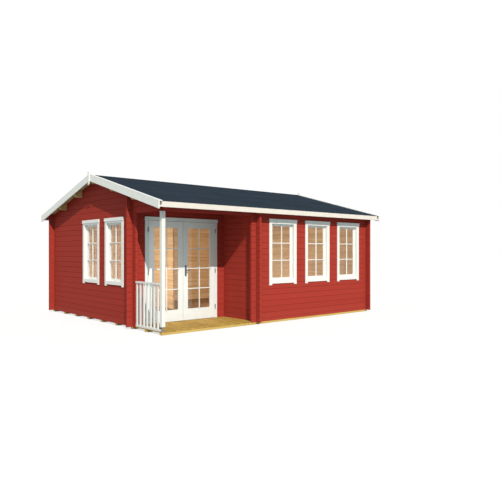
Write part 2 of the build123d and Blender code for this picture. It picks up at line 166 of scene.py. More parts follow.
def bump(tree, height, strength, shader):
    """Bump of up to a millimetre from a height, into a shader's normal."""
    node = tree.nodes.new("ShaderNodeBump")
    node.inputs["Strength"].default_value = strength
    node.inputs["Distance"].default_value = 0.001
    link(tree, height, node.inputs["Height"])
    link(tree, node.outputs["Normal"], shader.inputs["Normal"])


def fade_out(tree, value, reach):
    """1 where a value is 0, falling to 0 where it comes to its reach."""
    node = tree.nodes.new("ShaderNodeMapRange")
    for label, given in (("Value", value), ("From Max", reach), ("To Min", 1.0), ("To Max", 0.0)):
        feed(tree, given, node.inputs[label])
    return node.outputs["Result"]


def noise(tree, vector, scale, detail=2.0, roughness=0.5, distortion=0.0):
    """A noise texture, giving its value."""
    node = tree.nodes.new("ShaderNodeTexNoise")
    for label, value in (("Vector", vector), ("Scale", scale), ("Detail", detail),
                         ("Roughness", roughness), ("Distortion", distortion)):
        feed(tree, value, node.inputs[label])
    return node.outputs["Fac"]


def place_on_object(tree):
    """The place on the object, in metres."""
    return tree.nodes.new("ShaderNodeTexCoord").outputs["Object"]


def split(tree, vector):
    """A vector's X, Y and Z."""
    node = tree.nodes.new("ShaderNodeSeparateXYZ")
    link(tree, vector, node.inputs[0])
    return tuple(node.outputs)


def new_group(name, inputs, outputs):
    """A shader node group with named sockets, and what goes into it and comes out of it."""
    group = bpy.data.node_groups.new(name, "ShaderNodeTree")
    for label, kind, value in inputs:
        socket = group.interface.new_socket(label, in_out="INPUT", socket_type=kind)
        if value is not None:
            socket.default_value = value
    for label, kind in outputs:
        group.interface.new_socket(label, in_out="OUTPUT", socket_type=kind)
    given = group.nodes.new("NodeGroupInput").outputs
    result = group.nodes.new("NodeGroupOutput").inputs
    return group, given, result


def place_group(tree, group, values):
    """Put a group into a material with its own values, giving its outputs."""
    node = tree.nodes.new("ShaderNodeGroup")
    node.node_tree = group
    for label, value in values.items():
        feed(tree, value, node.inputs[label])
    return node.outputs


def seen_directly(tree, glossy=True):
    """1 where the camera sees a surface itself or through glass, and in gloss if asked for."""
    path = tree.nodes.new("ShaderNodeLightPath").outputs
    seen = math_node(tree, "MAXIMUM", path["Is Camera Ray"], path["Is Transmission Ray"])
    if glossy:
        seen = math_node(tree, "MAXIMUM", seen, path["Is Glossy Ray"])
    return seen


# ---- Colours ------------------------------------------------------------------------------------

# Three tones each, from dark to light
RED_TONES = ((0.345, 0.040, 0.0285), (0.360, 0.042, 0.0300), (0.375, 0.044, 0.0315))
SPRUCE = ((0.55, 0.345, 0.18), (0.68, 0.455, 0.255), (0.78, 0.55, 0.325))
ROOF_SPRUCE = ((0.42, 0.29, 0.11), (0.55, 0.39, 0.16), (0.66, 0.49, 0.22))
TREATED = ((0.355, 0.208, 0.040), (0.455, 0.283, 0.060), (0.54, 0.355, 0.087))
TREATED_EDGE = ((0.44, 0.285, 0.058), (0.545, 0.375, 0.091), (0.63, 0.447, 0.127))
FLOORING = ((0.25, 0.155, 0.085), (0.33, 0.21, 0.12), (0.40, 0.27, 0.16))
FELT = ((0.012, 0.0205, 0.034), (0.018, 0.0285, 0.046), (0.027, 0.040, 0.060))

# What gathers on surfaces and in joints
DUST = (0.30, 0.25, 0.19)
DIRT = (0.11, 0.085, 0.045)
RED_SEAM = (0.045, 0.004, 0.003)
BARE_SEAM = (0.22, 0.11, 0.045)

# Calmer colours that strong finishes throw on to their neighbours, and how much of them
RED_BOUNCE = (0.28, 0.12, 0.11)
TIMBER_BOUNCE = (0.34, 0.31, 0.26)
BOUNCE_SHARE = 0.6


# ---- Effects that several finishes share --------------------------------------------------------

# How far from its middle a joint darkens the timber
JOINT_REACH = 0.005


def stretched(group, given):
    """A group's position, drawn out by its stretch."""
    node = group.nodes.new("ShaderNodeVectorMath")
    node.operation = "MULTIPLY"
    link(group, given["Position"], node.inputs[0])
    link(group, given["Stretch"], node.inputs[1])
    return node.outputs[0]


def build_grain():
    """Wood grain: slow bands and fine fibres, drawn out along the timber."""
    group, given, result = new_group(
        "wood_grain",
        [("Position", VECTOR, None), ("Stretch", VECTOR, (1.0, 1.0, 1.0)),
         ("Band Scale", FLOAT, 1.6), ("Fibre Scale", FLOAT, 9.0)],
        [("Bands", FLOAT), ("Fibres", FLOAT)])
    drawn = stretched(group, given)
    bands = noise(group, drawn, given["Band Scale"], detail=3.0, distortion=0.7)
    fibres = noise(group, drawn, given["Fibre Scale"], detail=6.0, roughness=0.65)
    link(group, bands, result["Bands"])
    link(group, fibres, result["Fibres"])
    return group


def build_board_tone():
    """A steady value of its own for each board or log, and how near a place is to a joint."""
    group, given, result = new_group(
        "board_tone",
        [("Along", FLOAT, 0.0), ("First Joint", FLOAT, 0.0), ("Pitch", FLOAT, 0.1),
         ("Seed", FLOAT, 0.0)],
        [("Tone", FLOAT), ("Joint", FLOAT)])
    from_first = math_node(group, "SUBTRACT", given["Along"], given["First Joint"])
    count = math_node(group, "DIVIDE", from_first, given["Pitch"])
    value = group.nodes.new("ShaderNodeTexWhiteNoise")
    value.noise_dimensions = "1D"
    number = math_node(group, "FLOOR", count)
    link(group, math_node(group, "ADD", number, given["Seed"]), value.inputs["W"])
    link(group, value.outputs["Value"], result["Tone"])
    from_middle = math_node(group, "SUBTRACT", math_node(group, "FRACT", count), 0.5)
    to_joint = math_node(group, "SUBTRACT", 0.5, math_node(group, "ABSOLUTE", from_middle))
    distance = math_node(group, "MULTIPLY", to_joint, given["Pitch"])
    link(group, fade_out(group, distance, JOINT_REACH), result["Joint"])
    return group


def build_knots():
    """Scattered knots: small dark ovals, drawn out along the timber."""
    group, given, result = new_group(
        "knots",
        [("Position", VECTOR, None), ("Stretch", VECTOR, (1.0, 1.0, 1.0)),
         ("Scale", FLOAT, 3.0), ("Size", FLOAT, 0.1)],
        [("Knots", FLOAT)])
    cells = group.nodes.new("ShaderNodeTexVoronoi")
    link(group, stretched(group, given), cells.inputs["Vector"])
    link(group, given["Scale"], cells.inputs["Scale"])
    link(group, fade_out(group, cells.outputs["Distance"], given["Size"]), result["Knots"])
    return group


def build_splash():
    """Dust that rain splashes up: strongest at the ground, broken up, and gone at its height."""
    group, given, result = new_group(
        "splash_dust",
        [("Position", VECTOR, None), ("Height", FLOAT, 0.0), ("Reach", FLOAT, 0.3)],
        [("Dust", FLOAT)])
    fade = fade_out(group, given["Height"], given["Reach"])
    patches = noise(group, given["Position"], 7.0, detail=4.0)
    link(group, math_node(group, "MULTIPLY", fade, patches), result["Dust"])
    return group


def build_room_side():
    """A mask: 1 on the room side of the walls' middle planes, 0 outside and in the porch."""
    group, given, result = new_group(
        "room_side", [("Position", VECTOR, None)], [("Inside", FLOAT)])
    x, y, _ = split(group, given["Position"])
    half = LOG_THICKNESS / 2
    mask = math_node(group, "GREATER_THAN", x, LEFT + half)
    for test in (math_node(group, "LESS_THAN", x, RIGHT - half),
                 math_node(group, "GREATER_THAN", y, FRONT + half),
                 math_node(group, "LESS_THAN", y, BACK - half)):
        mask = math_node(group, "MULTIPLY", mask, test)
    in_porch = math_node(group, "MULTIPLY",
                         math_node(group, "LESS_THAN", x, PORCH_RIGHT + half),
                         math_node(group, "LESS_THAN", y, PORCH_BACK + half))
    inside = math_node(group, "MULTIPLY", mask, math_node(group, "SUBTRACT", 1.0, in_porch))
    link(group, inside, result["Inside"])
    return group


def build_red_paint():
    """Red paint with a tone for each log, dark in the joints and darkest there on log ends."""
    group, given, result = new_group(
        "red_paint",
        [("Tone", FLOAT, 0.5), ("Fibres", FLOAT, 0.5), ("Joint", FLOAT, 0.0),
         ("Log End", FLOAT, 0.0)],
        [("Paint", COLOUR)])
    worn = math_node(group, "ADD", math_node(group, "MULTIPLY", given["Tone"], 0.5),
                     math_node(group, "MULTIPLY", given["Fibres"], 0.5))
    paint = ramp(group, worn, (0.15, 0.5, 0.85), RED_TONES)
    seam = math_node(group, "MULTIPLY", given["Joint"],
                     math_node(group, "MULTIPLY_ADD", given["Log End"], 0.4, 0.5))
    link(group, mix_colour(group, seam, paint, RED_SEAM), result["Paint"])
    return group


GRAIN = build_grain()
BOARD_TONE = build_board_tone()
KNOTS = build_knots()
SPLASH = build_splash()
ROOM_SIDE = build_room_side()
RED_PAINT = build_red_paint()


# ---- Finishes -----------------------------------------------------------------------------------

# A face whose normal lies this much along the log is a log's end
END_FACING = 0.7


def along(axis, fine=14.0, drawn=0.7):
    """How a texture is drawn out for timber that runs along an axis."""
    stretch = [fine, fine, fine]
    stretch["XYZ".index(axis)] = drawn
    return tuple(stretch)


def bare_timber(tree, place, axis, tone, colours):
    """Planed softwood: grain bands from dark to light, shifted for each board, with knots."""
    grain = place_group(tree, GRAIN, {"Position": place, "Stretch": along(axis)})
    knots = place_group(tree, KNOTS, {"Position": place, "Stretch": along(axis, 3.0, 1.0),
                                      "Size": 0.09})
    shift = math_node(tree, "MULTIPLY_ADD", tone, 0.26, -0.13)
    bands = math_node(tree, "ADD", grain["Bands"], shift)
    fine = math_node(tree, "MULTIPLY_ADD", grain["Fibres"], 0.35, -0.17)
    wood = ramp(tree, math_node(tree, "ADD", bands, fine), (0.25, 0.5, 0.75), colours)
    knot_colour = tuple(channel * 0.45 for channel in colours[0])
    knotted = mix_colour(tree, math_node(tree, "MULTIPLY", knots["Knots"], 0.75), wood, knot_colour)
    return knotted, grain["Fibres"]


def dusted(tree, colour, place, height, reach, strength):
    """A colour with splashed dust over it, up to a reach above the ground."""
    dust = place_group(tree, SPLASH, {"Position": place, "Height": height, "Reach": reach})
    return mix_colour(tree, math_node(tree, "MULTIPLY", dust["Dust"], strength), colour, DUST)


def calm_bounce(tree, colour, calmer):
    """A surface's colour, calmed where light bounces off it, so as to tint its neighbours less."""
    path = tree.nodes.new("ShaderNodeLightPath").outputs
    factor = math_node(tree, "MULTIPLY", path["Is Diffuse Ray"], BOUNCE_SHARE)
    return mix_colour(tree, factor, colour, calmer)


def log_material(name, axis, first_joint):
    """Logs painted red on the weather side and left bare towards the rooms."""
    material, tree, shader = new_material(name)
    place = place_on_object(tree)
    height = split(tree, place)[2]
    tone = place_group(tree, BOARD_TONE, {"Along": height, "First Joint": first_joint,
                                          "Pitch": LOG_HEIGHT, "Seed": 3.0})
    bare, fibres = bare_timber(tree, place, axis, tone["Tone"], SPRUCE)
    bare = mix_colour(tree, math_node(tree, "MULTIPLY", tone["Joint"], 0.5), bare, BARE_SEAM)
    normal = tree.nodes.new("ShaderNodeNewGeometry").outputs["Normal"]
    facing = math_node(tree, "ABSOLUTE", split(tree, normal)["XYZ".index(axis)])
    log_end = math_node(tree, "GREATER_THAN", facing, END_FACING)
    paint = place_group(tree, RED_PAINT, {"Tone": tone["Tone"], "Fibres": fibres,
                                          "Joint": tone["Joint"], "Log End": log_end})["Paint"]
    paint = dusted(tree, paint, place, height, 0.25, 0.06)
    paint = calm_bounce(tree, paint, RED_BOUNCE)
    inside = place_group(tree, ROOM_SIDE, {"Position": place})["Inside"]
    link(tree, mix_colour(tree, inside, paint, bare), shader.inputs["Base Color"])
    rough = math_node(tree, "MULTIPLY_ADD", inside, 0.08, 0.5)
    link(tree, math_node(tree, "MULTIPLY_ADD", fibres, 0.2, rough), shader.inputs["Roughness"])
    shader.inputs["Specular IOR Level"].default_value = 0.03
    room_joint = math_node(tree, "MULTIPLY", tone["Joint"], inside)
    seams = math_node(tree, "MULTIPLY", room_joint, -3.0)
    bump(tree, math_node(tree, "ADD", fibres, seams), 0.3, shader)
    return material


def timber_material(name, axis, across, pitch, colours, seed, dusty=False, trodden=False):
    """Bare or treated timber with its grain along one axis, and a tone for each board across it.

    Dusty timber is splashed near the ground, and trodden timber has smudges of dirt."""
    material, tree, shader = new_material(name)
    place = place_on_object(tree)
    ways = split(tree, place)
    tone = place_group(tree, BOARD_TONE, {"Along": ways["XYZ".index(across)], "First Joint": LEFT,
                                          "Pitch": pitch, "Seed": seed})
    colour, fibres = bare_timber(tree, place, axis, tone["Tone"], colours)
    if dusty:
        colour = dusted(tree, colour, place, ways[2], 0.12, 0.25)
    if trodden:
        smudges = place_group(tree, GRAIN, {"Position": place, "Band Scale": 1.0,
                                            "Stretch": along(axis, 20.0, 6.0)})
        dirt = ramp(tree, smudges["Bands"], (0.47, 0.58), (BLACK, WHITE))
        colour = mix_colour(tree, math_node(tree, "MULTIPLY", dirt, 0.36), colour, DIRT)
    link(tree, calm_bounce(tree, colour, TIMBER_BOUNCE), shader.inputs["Base Color"])
    link(tree, math_node(tree, "MULTIPLY_ADD", fibres, 0.22, 0.5), shader.inputs["Roughness"])
    shader.inputs["Specular IOR Level"].default_value = 0.2
    bump(tree, fibres, 0.35, shader)
    return material


def white_paint_material(name, low, high):
    """Pale painted joinery with faint brush marks over the grain, between two tones."""
    material, tree, shader = new_material(name)
    place = place_on_object(tree)
    height = split(tree, place)[2]
    marks = noise(tree, place, 9.0, detail=5.0)
    grain = place_group(tree, GRAIN, {"Position": place, "Stretch": along("Z"),
                                      "Fibre Scale": 12.0})
    colour = ramp(tree, marks, (0.3, 0.7), (low, high))
    link(tree, dusted(tree, colour, place, height, 0.25, 0.18), shader.inputs["Base Color"])
    link(tree, math_node(tree, "MULTIPLY_ADD", marks, 0.14, 0.36), shader.inputs["Roughness"])
    shader.inputs["Specular IOR Level"].default_value = 0.35
    bump(tree, math_node(tree, "ADD", marks, grain["Fibres"]), 0.1, shader)
    return material


def felt_material():
    """Mineral-faced roofing felt: blue-grey granules."""
    material, tree, shader = new_material("roof_felt")
    place = place_on_object(tree)
    granules = noise(tree, place, 420.0)
    patches = noise(tree, place, 1.3, detail=4.0)
    mixed = math_node(tree, "MULTIPLY_ADD", granules, 0.7,
                      math_node(tree, "MULTIPLY", patches, 0.3))
    link(tree, ramp(tree, mixed, (0.3, 0.5, 0.7), FELT), shader.inputs["Base Color"])
    shader.inputs["Roughness"].default_value = 0.95
    shader.inputs["Specular IOR Level"].default_value = 0.06
    bump(tree, granules, 0.4, shader)
    return material


def metal_material(name, dark, light, roughness):
    """Coated steel with a slightly uneven sheen."""
    material, tree, shader = new_material(name)
    sheen = noise(tree, place_on_object(tree), 60.0, detail=3.0)
    link(tree, ramp(tree, sheen, (0.35, 0.7), (dark, light)), shader.inputs["Base Color"])
    rough = math_node(tree, "MULTIPLY_ADD", sheen, 0.2, roughness - 0.1)
    link(tree, rough, shader.inputs["Roughness"])
    shader.inputs["Metallic"].default_value = 0.7
    return material


def glass_material():
    """Clear float glass that lets lamp light through."""
    material, tree, shader = new_material("window_glass")
    shader.inputs["Base Color"].default_value = (0.96, 0.98, 0.975, 1.0)
    shader.inputs["Roughness"].default_value = 0.0
    shader.inputs["IOR"].default_value = 1.45
    shader.inputs["Specular IOR Level"].default_value = 0.5
    shader.inputs["Transmission Weight"].default_value = 1.0
    clear = tree.nodes.new("ShaderNodeBsdfTransparent")
    path = tree.nodes.new("ShaderNodeLightPath").outputs
    through = math_node(tree, "MAXIMUM", path["Is Shadow Ray"], path["Is Diffuse Ray"])
    surface = mix_shaders(tree, through, shader.outputs[0], clear.outputs[0])
    link(tree, surface, tree.nodes["Material Output"].inputs["Surface"])
    return material


MATERIALS = {
    "logs_x": log_material("red_logs_x", "X", BASE + LOG_HEIGHT / 2),
    "logs_y": log_material("red_logs_y", "Y", BASE),
    "white": white_paint_material("white_paint", (0.765, 0.77, 0.755), (0.805, 0.81, 0.795)),
    # A lighter copy of the white paint: painted light on the gable-side casings, gable window
    # frames and bargeboards
    "painted_lit_white": white_paint_material("white_paint_painted_lit", (0.825, 0.825, 0.80),
                                         (0.865, 0.865, 0.84)),
    # Cream for the fascias: partly the boards' own cream tone, partly painted shade that keeps the
    # sunlit fascia darker than the white
    "cream": white_paint_material("cream_paint_painted_shade", (0.71, 0.665, 0.61), (0.76, 0.715, 0.66)),
    # A cooler copy of the white paint for the door, its frame and casing: painted shade, tinted
    # bluish like skylight in the porch's shade
    "shade_tinted_door_white": white_paint_material("white_paint_door_shade_tint", (0.75, 0.80, 0.81),
                                       (0.79, 0.84, 0.85)),
    "beams": timber_material("treated_beams", "X", "Y", 0.3, TREATED_EDGE, 1.0, dusty=True),
    "deck": timber_material("treated_deck", "Y", "X", DECK_BOARD, TREATED, 2.0, trodden=True),
    "floor": timber_material("floor_boards", "Y", "X", FLOOR_BOARD, FLOORING, 4.0),
    "roof_boards": timber_material("roof_boards", "Y", "X", ROOF_BOARD, ROOF_SPRUCE, 5.0),
    "purlins": timber_material("purlins", "X", "Y", 0.8, ROOF_SPRUCE, 6.0),
    "felt": felt_material(),
    "plate_steel": metal_material("plate_steel", (0.15, 0.155, 0.165), (0.23, 0.235, 0.245), 0.36),
    "lever_steel": metal_material("lever_steel", (0.13, 0.13, 0.145), (0.2, 0.2, 0.22), 0.34),
    "zinc": metal_material("zinc", (0.24, 0.25, 0.26), (0.36, 0.37, 0.38), 0.38),
    "glass": glass_material(),
}

# The nodes that keep their own mesh, by finish
KEPT_NODES = {
    "logs_x": ["front_wall", "front_top_logs", "back_wall", "door_wall_left", "door_wall_right",
               "door_wall_over"],
    "logs_y": ["left_gable_wall", "left_gable_top", "right_gable_wall", "porch_side_wall",
               "inner_wall"],
    "felt": ["ridge_cap"],
    "glass": ["window_glass", "left_door_glass", "right_door_glass"],
}


# ---- Mesh helpers -------------------------------------------------------------------------------

def make_piece(name, bm, finish, body="house", round_parts=False):
    """Turn a mesh into a finished piece that rides on a body."""
    bmesh.ops.recalc_face_normals(bm, faces=bm.faces)
    mesh = bpy.data.meshes.new(name)
    bm.to_mesh(mesh)
    bm.free()
    if round_parts:
        mesh.shade_smooth()
        mesh.set_sharp_from_angle(angle=math.radians(40))
    mesh.materials.append(MATERIALS[finish])
    piece = bpy.data.objects.new(name, mesh)
    bpy.context.scene.collection.objects.link(piece)
    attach(piece, body)
    return piece


def prism(outline, axis, start, end):
    """A closed bar with an outline in the two other axes, running along an axis."""
    bm = bmesh.new()
    rings = []
    for place in (start, end):
        corners = {"X": lambda a, b: (place, a, b), "Y": lambda a, b: (a, place, b),
                   "Z": lambda a, b: (a, b, place)}[axis]
        rings.append([bm.verts.new(corners(a, b)) for a, b in outline])
        bm.faces.new(rings[-1])
    count = len(outline)
    for n in range(count):
        m = (n + 1) % count
        bm.faces.new((rings[0][n], rings[0][m], rings[1][m], rings[1][n]))
    bmesh.ops.recalc_face_normals(bm, faces=bm.faces)
    return bm


def box(lo, hi):
    """A box between two corners."""
    outline = [(lo[0], lo[1]), (hi[0], lo[1]), (hi[0], hi[1]), (lo[0], hi[1])]
    return prism(outline, "Z", lo[2], hi[2])


def rod(centre, radius, axis, start, end, sides=24):
    """A round bar along an axis; its centre is given in the two other axes."""
    turn = 2 * math.pi / sides
    outline = [(centre[0] + radius * math.cos(n * turn), centre[1] + radius * math.sin(n * turn))
               for n in range(sides)]
    return prism(outline, axis, start, end)


def soften(bm, width, segments=2, angle=30):
    """Round off every edge sharper than an angle."""
    sharp = [edge for edge in bm.edges
             if edge.is_manifold and edge.calc_face_angle() > math.radians(angle)]
    bmesh.ops.bevel(bm, geom=sharp, offset=width, offset_type="OFFSET", segments=segments,
                    profile=0.5, affect="EDGES", clamp_overlap=True)
    return bm


def screw_head(centre, radius, start, end, sides=16, edge=SCREW_EDGE):
    """A round head along Y with a softened rim."""
    return soften(rod(centre, radius, "Y", *sorted((start, end)), sides), edge, 1, 50)


def join(target, element, matrix=None):
    """Add one element's mesh to another, moved by a matrix."""
    if matrix is not None:
        bmesh.ops.transform(element, matrix=matrix, verts=element.verts)
    mesh = bpy.data.meshes.new("part")
    element.to_mesh(mesh)
    element.free()
    target.from_mesh(mesh)
    bpy.data.meshes.remove(mesh)


def flatten(bm):
    """Join up faces that lie in one plane."""
    bmesh.ops.dissolve_limit(bm, angle_limit=FLAT, verts=bm.verts, edges=bm.edges)


def welded(name):
    """A CAD node's mesh with its points joined up."""
    bm = bmesh.new()
    bm.from_mesh(NODES[name].data)
    bmesh.ops.remove_doubles(bm, verts=bm.verts, dist=SAME_PLACE)
    return bm


def node_mesh(name):
    """A CAD node's mesh, joined up and with its flat faces whole."""
    bm = welded(name)
    flatten(bm)
    return bm


def softened(node, finish, width=TRIM_EDGE, segments=2, body="house", round_parts=False, extra=(),
             mesh=None):
    """A CAD node's piece with its edges rounded off as timber and metal have them."""
    bm = soften(mesh or node_mesh(node), width, segments)
    for element in extra:
        join(bm, element)
    piece = make_piece(node + "_finished", bm, finish, body, round_parts)
    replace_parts(piece, node)
    return piece


def cut(bm, place, way, clear=False):
    """Cut a mesh across a plane, and clear what lies past it if asked to."""
    geometry = bm.verts[:] + bm.edges[:] + bm.faces[:]
    bmesh.ops.bisect_plane(bm, geom=geometry, dist=1e-6, plane_no=way, plane_co=place,
                           clear_outer=clear)
    if clear:
        bmesh.ops.holes_fill(bm, edges=[e for e in bm.edges if e.is_boundary], sides=0)


def groove(board, x, edge):
    """Cut a V groove down the top of a board, out through its ends."""
    across = Vector((1.0, 0.0, 0.0))
    for side in (-GROOVE_WIDTH / 2, 0.0, GROOVE_WIDTH / 2):
        cut(board, across * (x + side), across)
    top = max(vertex.co.z for vertex in board.verts)
    for vertex in board.verts:
        if abs(vertex.co.x - x) < SAME_PLACE and vertex.co.z > top - edge - SAME_PLACE:
            vertex.co.z -= GROOVE_DEPTH


def sliced(node, finish, pitch, gap, edge, grooves=()):
    """A CAD node's flat solid cut into boards side by side along X, with their edges rounded off.

    Grooves run down the boards at the given distances from each board's middle."""
    lo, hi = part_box(node)
    across = Vector((1.0, 0.0, 0.0))
    boards = bmesh.new()
    start = lo.x
    while start < hi.x - gap:
        board = node_mesh(node)
        cut(board, across * (start + gap / 2), -across, clear=True)
        cut(board, across * (start + pitch - gap / 2), across, clear=True)
        flatten(board)
        soften(board, edge, 1)
        for offset in grooves:
            groove(board, start + pitch / 2 + offset, edge)
        join(boards, board)
        start += pitch
    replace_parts(make_piece(node + "_laid", boards, finish), node)


def node_solids(name):
    """The two corners of the box round each separate solid of a node."""
    bm = welded(name)
    waiting = set(bm.verts)
    boxes = []
    while waiting:
        found = [waiting.pop()]
        for vert in found:
            for edge in vert.link_edges:
                other = edge.other_vert(vert)
                if other in waiting:
                    waiting.remove(other)
                    found.append(other)
        corners = list(zip(*(vert.co for vert in found)))
        boxes.append((Vector([min(c) for c in corners]), Vector([max(c) for c in corners])))
    bm.free()
    return sorted(boxes, key=lambda pair: tuple(pair[0]))


# ---- Pieces -------------------------------------------------------------------------------------

def finish_nodes():
    """Give the nodes that keep their own mesh their materials."""
    for finish, names in KEPT_NODES.items():
        for name in names:
            slots = NODES[name].data.materials
            slots.clear()
            slots.append(MATERIALS[finish])


def glazing_bars(panes, half_width, low, high, sash_face):
    """A grille of glazing bars that lies on a sash, with its ends lapped over the sash's edge."""
    columns, rows = panes
    grille = bmesh.new()
    half = BAR_WIDTH / 2
    narrow = half - BAR_BEVEL
    front = sash_face - BAR_DEPTH
    shoulder = sash_face - BAR_DEPTH * BAR_SHOULDER
    profile = [(-half, sash_face), (-half, shoulder), (-narrow, front), (narrow, front),
               (half, shoulder), (half, sash_face)]
    for column in range(1, columns):
        x = -half_width + column * 2 * half_width / columns
        bar = prism([(x + across, depth) for across, depth in profile], "Z",
                    low - BAR_LAP, high + BAR_LAP)
        join(grille, soften(bar, THIN_EDGE))
    for row in range(1, rows):
        z = low + row * (high - low) / rows
        bar = prism([(depth, z + across) for across, depth in profile], "X",
                    -half_width - BAR_LAP, half_width + BAR_LAP)
        join(grille, soften(bar, THIN_EDGE))
    return grille


def splay(bm, axis, back, lo, hi, by):
    """Splay an opening on its room side: its corners on the back face move outwards."""
    on_face, at_corner = 1e-4, 5e-4
    others = [n for n in range(3) if n != axis]
    bmesh.ops.triangulate(bm, faces=[face for face in bm.faces if len(face.verts) > 4])
    for vert in bm.verts:
        if abs(vert.co[axis] - back) > on_face:
            continue
        edges = [[abs(vert.co[n] - side[n]) < at_corner for side in (lo, hi)] for n in others]
        if all(any(near) for near in edges):
            for n, (_, at_high) in zip(others, edges):
                vert.co[n] += by if at_high else -by
    return bm


def build_windows():
    """Window frames with splayed inner edges and softened corners, and their glazing bars."""
    casings = softened("window_casings", "white")
    # Casing faces on the gable side take the lighter copy of the white paint: painted light, as if
    # the sun fell on them more
    casings.data.materials.append(MATERIALS["painted_lit_white"])
    for face in casings.data.polygons:
        face.material_index = int(face.center.x < LEFT)
    frames = [name for name in NODES if name.startswith(("front_window_", "left_window_"))]
    bars = bmesh.new()
    for lo, hi in node_solids("window_glass"):
        centre = (lo + hi) / 2
        size = hi - lo
        if size.x > size.y:
            depth, across, wall_face, finish = 1, 0, FRONT, "white"
            matrix = Matrix.Translation((centre.x, FRONT, 0))
        else:
            # Gable windows take the lighter copy of the white paint: painted light
            depth, across, wall_face, finish = 0, 1, LEFT, "painted_lit_white"
            matrix = Matrix.Translation((LEFT, centre.y, 0)) @ Matrix.Rotation(-math.pi / 2, 4, "Z")
        frame_name = min(frames,
                         key=lambda name: (sum(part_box(name), Vector()) / 2 - centre).length)
        edge = Vector((0.0, 0.0, GLASS_EDGE))
        edge[across] = GLASS_EDGE
        room_face = wall_face + SASH_SET_BACK + SASH_DEPTH
        mesh = splay(node_mesh(frame_name), depth, room_face, lo + edge, hi - edge, WINDOW_SPLAY)
        softened(frame_name, finish, mesh=mesh)
        join(bars, glazing_bars(WINDOW_PANES, size[across] / 2 - GLASS_EDGE, lo.z + GLASS_EDGE,
                                hi.z - GLASS_EDGE, SASH_SET_BACK), matrix)
    make_piece("window_glazing_bars", bars, "white")


def build_door():
    """The double door's frame, casing, leaves, glazing bars and hinges."""
    # The door takes the bluish copy of the white paint, with the porch's shade painted into it
    softened("door_frame", "shade_tinted_door_white")
    softened("door_casing", "shade_tinted_door_white")
    for side in ("left", "right"):
        leaf = side + "_door_leaf"
        body = side + "_door"
        outer, inner = (corner.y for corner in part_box(leaf))
        lo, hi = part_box(side + "_door_glass")
        edge = Vector((GLASS_EDGE, 0.0, GLASS_EDGE))
        mesh = splay(node_mesh(leaf), 1, inner, lo + edge, hi - edge, DOOR_SPLAY)
        softened(leaf, "shade_tinted_door_white", FINE_EDGE, body=body, mesh=mesh)
        bars = bmesh.new()
        join(bars, glazing_bars(DOOR_PANES, (hi.x - lo.x) / 2 - GLASS_EDGE, lo.z + GLASS_EDGE,
                                hi.z - GLASS_EDGE, outer),
             Matrix.Translation(((lo.x + hi.x) / 2, 0, 0)))
        make_piece(side + "_door_bars", bars, "shade_tinted_door_white", body)
        softened(side + "_leaf_hinges", "plate_steel", FINE_EDGE, body=body, round_parts=True)
    softened("frame_hinges", "plate_steel", FINE_EDGE, round_parts=True)


def build_handle():
    """Handle plates with their screws and keyhole rosettes on both faces, and the lever."""
    screw_radius, screw_height, screw_from_end = 0.0045, 0.0015, 0.014
    lock_radius, lock_height, lock_edge, lock_from_end = 0.0085, 0.003, 0.0008, 0.05
    lo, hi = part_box("handle_plates")
    centre_x = (lo.x + hi.x) / 2
    heads = []
    for face, out in ((lo.y, -1), (hi.y, 1)):
        for z in (lo.z + screw_from_end, hi.z - screw_from_end):
            heads.append(screw_head((centre_x, z), screw_radius, face, face + out * screw_height))
        heads.append(screw_head((centre_x, lo.z + lock_from_end), lock_radius,
                                face, face + out * lock_height, 24, lock_edge))
    softened("handle_plates", "plate_steel", FINE_EDGE, body="right_door", extra=heads)
    softened("lever_handle", "lever_steel", BLUNT_EDGE, 3, body="lever", round_parts=True)


def build_deck():
    """Grooved deck boards with gaps between them, and the screws that hold them to the beams."""
    grooves = [(number - (GROOVE_COUNT - 1) / 2) * GROOVE_PITCH for number in range(GROOVE_COUNT)]
    sliced("porch_deck", "deck", DECK_BOARD, DECK_GAP, TRIM_EDGE, grooves)

    radius, sunk, proud = 0.0045, 0.004, 0.0005
    from_middle, from_beam = 0.024, 0.03
    lo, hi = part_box("porch_deck")
    rows = (FRONT + from_beam, (FRONT + PORCH_BACK) / 2 + from_beam, PORCH_BACK - from_beam)
    screws = bmesh.new()
    for number in range(1, int((hi.x - lo.x) / DECK_BOARD)):
        for offset in (-from_middle, from_middle):
            x = lo.x + (number + 0.5) * DECK_BOARD + offset
            for y in rows:
                join(screws, rod((x, y), radius, "Z", hi.z - sunk, hi.z + proud, 12))
    make_piece("deck_screws", screws, "zinc")


def build_timber():
    """Everything else of timber: boards, beams, trims, post and railing, and the post's foot."""
    sliced("floor_boards", "floor", FLOOR_BOARD, TIGHT_GAP, THIN_EDGE)
    for name in ("front", "back"):
        sliced("roof_boards_" + name, "roof_boards", ROOF_BOARD, TIGHT_GAP, BLUNT_EDGE)
        # Fascias take the darker cream paint: partly their own tone, partly painted shade
        softened("fascia_" + name, "cream")
        # Bargeboards take the lighter copy of the white paint: painted light
        softened("bargeboards_" + name, "painted_lit_white")
    softened("foundation_beams", "beams", BLUNT_EDGE)
    softened("ridge_purlin", "purlins", BLUNT_EDGE)
    softened("side_purlins", "purlins", BLUNT_EDGE)
    softened("verge_strips", "white", FINE_EDGE)
    softened("finials", "white", BLUNT_EDGE)
    softened("porch_post", "white", POST_EDGE, 3)
    softened("porch_railing", "white")
    softened("post_foot", "zinc", THIN_EDGE, round_parts=True)


